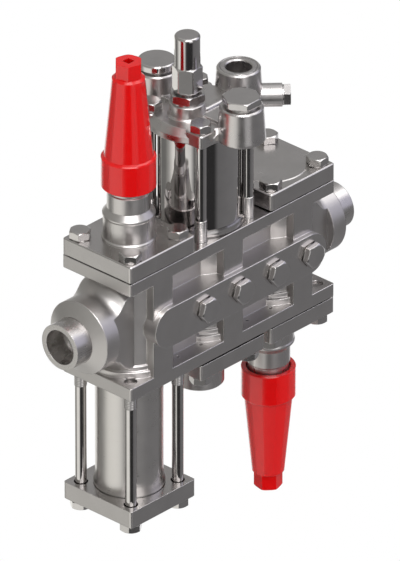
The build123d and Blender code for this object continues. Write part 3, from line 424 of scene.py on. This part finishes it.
# %% Cylinder, stubs and strainer tube
foot_ring_height = 0.0105
cylinder_steel = RoundSteel("cylinder_steel", mirror_dark, mirror_light, 0.06, 0.04, 0.000003)
ring = 1.0 - cylinder_steel.z.above(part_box("servo_cylinder")[0].z + foot_ring_height)
cylinder_steel.set(Roughness=cylinder_steel.rough + ring * 0.14)
normals = {0: ring * 0.85, 4: cylinder_steel.soft_edges(0.0005), 5: cylinder_steel.away_from(servo_axis)}
ring_normal = cylinder_steel.add("ShaderNodeMix", {"data_type": "VECTOR"}, normals, out=1)
cylinder_steel.relief(cylinder_steel.turned, cylinder_steel.depth, ring_normal)

pipe_steel = RoundSteel("pipe_steel", (0.50, 0.48, 0.47), (0.60, 0.576, 0.565), 0.28, 0.14, 0.00001)
from_axis = (pipe_steel.y * pipe_steel.y + pipe_steel.z * pipe_steel.z).root()
bore = 1.0 - from_axis.above(bore_radius + tolerance)
pipe_steel.set(Base_Color=pipe_steel.colour(bore, pipe_steel.tone, pipe_scale))
pipe_steel.set(Metallic=1.0 - bore * 0.95)
pipe_steel.set(Roughness=pipe_steel.rough + bore * 0.25)
pipe_steel.with_edges(0.0008)

tube_steel = RoundSteel("tube_steel", (0.52, 0.50, 0.485), (0.60, 0.577, 0.565), 0.30, 0.12, 0.000008)
tube_steel.relief(tube_steel.turned, tube_steel.depth, tube_steel.away_from(inlet_axis))
print("cylinder, stub and tube steels are ready")

# %% [markdown]
# ## Bolts
# The long bolts come out of the housing with some thread left over. A thread is a slope that
# climbs by one pitch in each turn. Seen from the side only its rise and fall count, so the height
# over the bolt's wall is a triangle wave of the place along the bolt. It is switched on as far as
# the thread comes out of the housing. The heads are forged and not ground, so they are duller
# than the shanks.
#
# The end of the thread and the start of the head are heights above or below the middle of the
# housing, so one formula serves the bolts on top and the bolts underneath. The pilot ports rise
# above the servo cover, and the place of its bolt heads is measured down from their tops.


# %% Bolts with some thread left over
thread_pitch = 0.00175
thread_depth = 0.0003


def bolt_finish(name, thread_end, head_start):
    """Bolt steel with a thread below one height and a dull head above another."""
    steel = RoundSteel(name, (0.48, 0.462, 0.455), mirror_light, 0.10, 0.06, thread_depth)
    turn = steel.z / thread_pitch
    wave = abs(turn - turn.floor() - 0.5) * 2.0
    threaded = 1.0 - abs(steel.z).above(thread_end)
    head = abs(steel.z).above(head_start)
    steel.set(Roughness=steel.rough + threaded * 0.10 + head * 0.09)
    steel.relief(wave * threaded + steel.turned * 0.015, steel.depth, steel.soft_edges(0.0005))
    return steel


strainer_thread, servo_thread = 0.015, 0.022
port_rise = 0.0216
strainer_heads = -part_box("strainer_cover")[0].z
servo_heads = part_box("servo_cover")[1].z - port_rise
bolt_steel = bolt_finish("bolt_steel", 0.0, housing_top)
strainer_bolt_steel = bolt_finish("strainer_bolt_steel", housing_top + strainer_thread, strainer_heads)
servo_bolt_steel = bolt_finish("servo_bolt_steel", housing_top + servo_thread, servo_heads)
print("three bolt finishes are ready")

# %% [markdown]
# ## Gaskets, seals and packing
# Between plate and housing shows a dark line: the edge of a pressed fibre gasket. It is dull and
# slightly speckled. The rings under the plugs are soft metal, and the packing round the spindles
# is braided graphite. All three are the same speckled recipe with other values.


# %% Dull soft pieces
def dull(name, low, high, rough, metallic, scale):
    """A speckled dull finish."""
    piece = Finish(name)
    spot, _ = piece.place()
    speck = piece.noise(spot, scale, 3.0, 0.7)
    piece.set(Metallic=metallic)
    piece.set(Base_Color=piece.colour(speck, low, high))
    piece.set(Roughness=rough + (speck - 0.5) * 0.2)
    piece.relief(speck, 0.00003)
    return piece


fibre = dull("gasket_fibre", (0.010, 0.010, 0.010), (0.032, 0.030, 0.028), 0.75, 0.0, 900.0)
seal_metal = dull("seal_copper", (0.34, 0.335, 0.32), (0.44, 0.43, 0.42), 0.32, 1.0, 500.0)
graphite = dull("packing_graphite", (0.05, 0.05, 0.05), (0.12, 0.12, 0.12), 0.5, 0.4, 1200.0)
print("three dull finishes are ready")

# %% [markdown]
# ## The red caps
# The protecting caps are moulded in a hard glossy plastic, bright red all through. A moulding is
# never quite flat: a slow swell in the skin bends the long highlights, and handling leaves small
# changes in gloss. A clear coat on top gives the wet, sharp reflection of the softboxes.

# %% Glossy red plastic
red = Finish("red_plastic")
spot, (x, y, z) = red.place()
swell = red.noise(spot, 35.0, 2.0)
handling = red.noise(spot, 220.0, 4.0, 0.65)
red.set(Base_Color=red.colour(handling, (0.50, 0.0012, 0.0015), (0.54, 0.0026, 0.003)))
red.set(Roughness=0.12 + (handling - 0.5) * 0.08)
red.set(Coat_Weight=0.55 + (handling - 0.5) * 0.2)
red.set(Coat_Roughness=0.03)
red.set(Specular_IOR_Level=0.25)
print("red plastic has its colour and gloss")

# %% [markdown]
# The mould of the caps was milled with twelve shallow flats round the band and the cone. The
# surface of the CAD model is round there, so the flats are drawn with the normal alone: its
# bearing is pulled towards the middle of the flat it belongs to, by three quarters of the way. The
# hexagon at the tip stands above them and keeps its own normal.

# %% Twelve shallow flats
nx, ny, nz = red.split(red.soft_edges(0.0008))
flat_step = pi / 6
hexagon_height = 0.0153
round_part = 1.0 - abs(z).above(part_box("inlet_stop_red_cap")[1].z - hexagon_height)
azimuth = ny.math("ARCTAN2", ny, nx)
flat_middle = ((azimuth / flat_step).floor() + 0.5) * flat_step
bent = azimuth + (flat_middle - azimuth) * round_part * 0.75
level = (nx * nx + ny * ny).root()
flats = red.point(bent.math("COSINE", bent) * level, bent.math("SINE", bent) * level, nz)
red.relief(swell, 0.00006, flats)
print("red plastic is ready")

# %% [markdown]
# ## Which piece gets which finish
# The record of the part names a material slot for each piece. The table below turns that slot
# into a finish. A second table names the pieces whose finish differs from the others of their
# slot: plates have one finish for each axis, since their rings run round it, and long bolts have
# one for each length of free thread.

# %% Dress every piece
finishes = {
    "forged_steel": forged, "plate_steel": inlet_plate, "satin_steel": satin,
    "pipe_steel": pipe_steel, "polished_steel": polished, "bolt_steel": bolt_steel,
    "tube_steel": tube_steel, "bright_steel": bright, "spring_steel": spring_steel,
    "strainer_steel": strainer_steel, "gasket_fibre": fibre, "seal_copper": seal_metal,
    "packing_graphite": graphite, "red_plastic": red,
}
own_finish = {
    "servo_cylinder": cylinder_steel, "spring_cover": servo_plate, "blind_cover": outlet_plate,
    "outlet_stop_bonnet": outlet_plate, "branch_plug": bright, "tower_gland_nut": bright,
    "servo_bolts": servo_bolt_steel, "strainer_bolts": strainer_bolt_steel,
    "strainer_lower_gasket": seal_metal,
}
slot_of = {part["node"]: part["material_slot"] for part in frame["record"]["subparts"]}
for name, piece in frame["nodes"].items():
    chosen = own_finish.get(name) or finishes[slot_of[name]]
    piece.data.materials.clear()
    piece.data.materials.append(chosen.material)
print(len(frame["nodes"]), "pieces dressed")

# %% [markdown]
# ## A copy of the spring
# The return spring stands between the throttle cone and the floor of the bottom cover. When the
# servo valve opens, the cone comes down and shortens the spring. A CAD piece can't change its
# shape, so a copy of the spring's mesh stands for it, and the CAD spring is hidden. The share of
# its height that the copy would keep when the cone has travelled all the way, and a hair more so
# that the two don't touch, is worked out; the copy itself is not shortened here.

# %% A copy of the spring
spring_node = frame["nodes"]["return_spring"]
spring_low, spring_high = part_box("return_spring")
spring_height = spring_high.z - spring_low.z
coil = bpy.data.objects.new("squeezed_spring", spring_node.data.copy())
bpy.context.scene.collection.objects.link(coil)
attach(coil, "station")
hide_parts("return_spring")
spring_gap = 0.0002
spring_keeps = 1.0 - (travel["servo_travel"] + spring_gap) / spring_height
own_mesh(coil)
print("spring keeps", round(spring_keeps, 3), "of its height")

# %% [markdown]
# ## The floor
# The station is shown over a plain pale floor that the camera sees as white, as on a catalogue
# page. The floor material asks what kind of ray has come. Rays of the camera meet plain white, and
# light that falls on the floor meets an ordinary pale surface, so what the floor sends back up is
# honest. The floor lies deep enough for the lower cap to be pulled off.

# %% A pale floor under the lowest cap
floor_clearance = 0.0005
floor_height = cad_box[0][2] - travel["outlet_cap_pull"] - floor_clearance
reach = 12.0
corners = [(-reach, -reach, floor_height), (reach, -reach, floor_height),
           (reach, reach, floor_height), (-reach, reach, floor_height)]
floor_mesh = bpy.data.meshes.new("floor")
floor_mesh.from_pydata(corners, [], [(0, 1, 2, 3)])
floor = bpy.data.objects.new("floor", floor_mesh)
bpy.context.scene.collection.objects.link(floor)

pale = Finish("pale_floor")
pale.set(Base_Color=(0.8, 0.8, 0.8, 1.0), Roughness=0.9)
from_camera = pale.add("ShaderNodeLightPath", out="Is Camera Ray")
white = pale.add("ShaderNodeEmission", values={"Color": (1, 1, 1, 1), "Strength": 1.0})
plain = Wire(pale, pale.shader.outputs[0])
blend = pale.add("ShaderNodeMixShader", values={0: from_camera, 1: plain, 2: white})
pale.put(pale.tree.nodes["Material Output"], "Surface", blend)
floor_mesh.materials.append(pale.material)
print("floor at", round(floor_height, 4))

# %% [markdown]
# ## A studio that steel can mirror
# Bare steel shows the room more than itself, so the room is the light. Each smooth piece mirrors
# another part of it, and together the pieces of the photograph tell what the room was like: one
# large softbox in front and above, smaller ones low down and at the right, a pale wall at the
# left, a dim stretch round the camera, and an even grey elsewhere. The world repeats that room.
# Its bearings are counted in degrees to the right of the camera, and its heights in degrees above
# the horizon. Four belts, one above the other, each hold a ramp of grey round the compass.

# %% The room's compass
towards_camera = Vector((-0.6378, -0.5963, 0.4875)).normalized()
forward = Vector((towards_camera.x, towards_camera.y, 0)).normalized()
rightward = Vector((-forward.y, forward.x, 0))
world = bpy.data.worlds.new("studio")
bpy.context.scene.world = world
room = Bench(world)
wx, wy, wz = room.split(room.add("ShaderNodeTexCoord", out="Generated"))
ahead = wx * forward.x + wy * forward.y
aside = wx * rightward.x + wy * rightward.y
degrees = 180 / pi
bearing = aside.math("ARCTAN2", aside, ahead) * degrees
height = wz.math("ARCSINE", wz) * degrees


def belt(stops):
    """Greys round the compass, from (bearing, grey) pairs."""
    places = [(towards / 360 + 0.5, grey) for towards, grey in stops]
    return room.add("ShaderNodeValToRGB", {"stops": places}, {0: bearing / 360 + 0.5})


floor_belt = belt([(-180, 0.40), (-140, 0.90), (-115, 0.45), (-90, 0.62), (-60, 1.00), (-35, 1.05),
                   (-10, 0.50), (10, 0.42), (60, 0.30), (130, 0.26), (160, 0.30), (180, 0.40)])
low_belt = belt([(-180, 1.22), (-136, 1.22), (-126, 0.22), (-106, 0.24), (-92, 0.50), (-76, 1.15),
                 (-40, 1.20), (-24, 0.98), (-12, 0.10), (2, 0.04), (42, 0.04), (54, 0.20),
                 (90, 0.23), (142, 0.25), (156, 1.15), (180, 1.22)])
high_belt = belt([(-180, 0.40), (-130, 0.36), (-70, 0.42), (-45, 0.50), (-15, 0.50), (5, 0.40),
                  (38, 0.26), (65, 0.22), (130, 0.30), (150, 0.22), (165, 0.40), (180, 0.40)])
top_belt = belt([(-180, 0.80), (-100, 0.35), (-50, 0.45), (-15, 1.00), (30, 1.00), (60, 0.90),
                 (95, 1.40), (135, 1.20), (165, 0.95), (180, 0.80)])
print("four belts of the room are ready")

# %% [markdown]
# The belts fade into each other over a few degrees of height. Softboxes are bright rectangles
# with a soft rim, and a small hot core makes the sparks on the polished domes. The walls are
# a little warmer at the left than at the right, and the box at the right is slightly blue, since
# the stub and the cylinder show cool edges there.


# %% Belts and softboxes
def smooth_step(value, start, end):
    """Goes from 0 to 1 between two values."""
    settings = {"interpolation_type": "SMOOTHSTEP"}
    return room.add("ShaderNodeMapRange", settings, {0: value, 1: start, 2: end, 3: 0.0, 4: 1.0})


def mix(mask, first, second, blend_type="MIX"):
    """Two pictures of the room laid over each other."""
    settings = {"data_type": "RGBA", "blend_type": blend_type}
    return room.add("ShaderNodeMix", settings, {0: mask, 6: first, 7: second}, out=2)


def softbox(towards, up, half_width, half_height, blur, level):
    """A bright rectangle with a soft rim, by its bearing, height, size and blur in degrees."""
    across = smooth_step(abs(bearing - towards), half_width + blur, half_width)
    rise = smooth_step(abs(height - up), half_height + blur, half_height)
    return across * rise * level


walls = mix(smooth_step(height, -41.0, -33.0), floor_belt, low_belt)
walls = mix(smooth_step(height, -15.0, -5.0), walls, high_belt)
walls = mix(smooth_step(height, 38.0, 52.0), walls, top_belt)
key_box = softbox(14.0, 60.0, 28.0, 24.0, 9.0, 3.4)
key_core = softbox(17.0, 58.0, 4.0, 4.0, 3.0, 20.0)
front_box = softbox(31.0, 4.0, 12.0, 24.0, 6.0, 0.95)
side_box = softbox(106.0, 54.0, 26.0, 13.0, 7.0, 1.5)
blue_box = softbox(100.0, 20.0, 20.0, 16.0, 8.0, 0.55)
boxes = key_box + key_core + front_box + side_box
warm = boxes + blue_box * 0.9
cool = boxes + blue_box * 1.15
lamps = room.add("ShaderNodeCombineColor", values={0: warm, 1: warm, 2: cool})
tint = mix(smooth_step(aside, -0.7, 0.5), (1.0, 1.0, 0.95, 1), (1.0, 1.0, 1.02, 1))
mirrored = mix(1.0, mix(1.0, walls, tint, "MULTIPLY"), lamps, "ADD")
print("the room has five softboxes")

# %% [markdown]
# ## What the camera sees behind
# The room lights and mirrors, but the camera itself meets plain white, so the station stands on
# a white page. The floor hides from mirror rays: the lowest belt already stands for it.

# %% The world
seen_by_camera = room.add("ShaderNodeLightPath", out="Is Camera Ray")
shown = mix(seen_by_camera, mirrored, (1, 1, 1, 1))
room.put(room.tree.nodes["Background"], "Color", shown)
floor.visible_glossy = False
print("world is ready")

# %% [markdown]
# ## Lamp panels
# Two soft panels add plain light to the mirrored room: one high at the left, which models the red
# caps, and a weaker one overhead. Mirror rays don't see them, so the steel shows only the room.

# %% Lamp panels
target = Vector((0.1872, 0.0, -0.0063))


def panel(name, where, width, height, power):
    """A soft rectangular lamp that looks at the station."""
    light = bpy.data.lights.new(name, "AREA")
    light.shape, light.size, light.size_y, light.energy = "RECTANGLE", width, height, power
    lamp = bpy.data.objects.new(name, light)
    lamp.location = where
    lamp.rotation_euler = (target - lamp.location).to_track_quat("-Z", "Y").to_euler()
    lamp.visible_glossy = False
    bpy.context.scene.collection.objects.link(lamp)


panel("left_panel", (-2.0, 0.3, 1.6), 1.2, 1.2, 9.0)
panel("top_panel", (0.2, 0.1, 2.6), 1.2, 1.2, 7.0)
print("two panels are ready")

# %% [markdown]
# ## The camera
# The photograph was taken from far away with a long lens: the edges of the housing that run away
# from the viewer stay almost parallel. The camera looks from the front left, about 29 degrees
# above the level. Its distance follows from the lens and from how many pixels of the picture
# one metre of the station fills.

# %% The photograph's view
picture_height_px = 561
pixels_per_metre = 1087.7
lens_mm, sensor_mm = 1100.0, 36.0
distance = lens_mm / sensor_mm * picture_height_px / pixels_per_metre
eye = bpy.data.cameras.new("camera")
eye.lens, eye.sensor_width, eye.sensor_fit = lens_mm, sensor_mm, "AUTO"
eye.clip_end = 2 * distance
camera = bpy.data.objects.new("camera", eye)
camera.location = target + towards_camera * distance
camera.rotation_euler = (-towards_camera).to_track_quat("-Z", "Y").to_euler()
bpy.context.scene.collection.objects.link(camera)
bpy.context.scene.camera = camera
bpy.context.scene.view_settings.view_transform = "Standard"
print("camera stands", round(distance, 3), "m away")

# %% [markdown]
# ## Finish

# %% Finish
print("scene built")
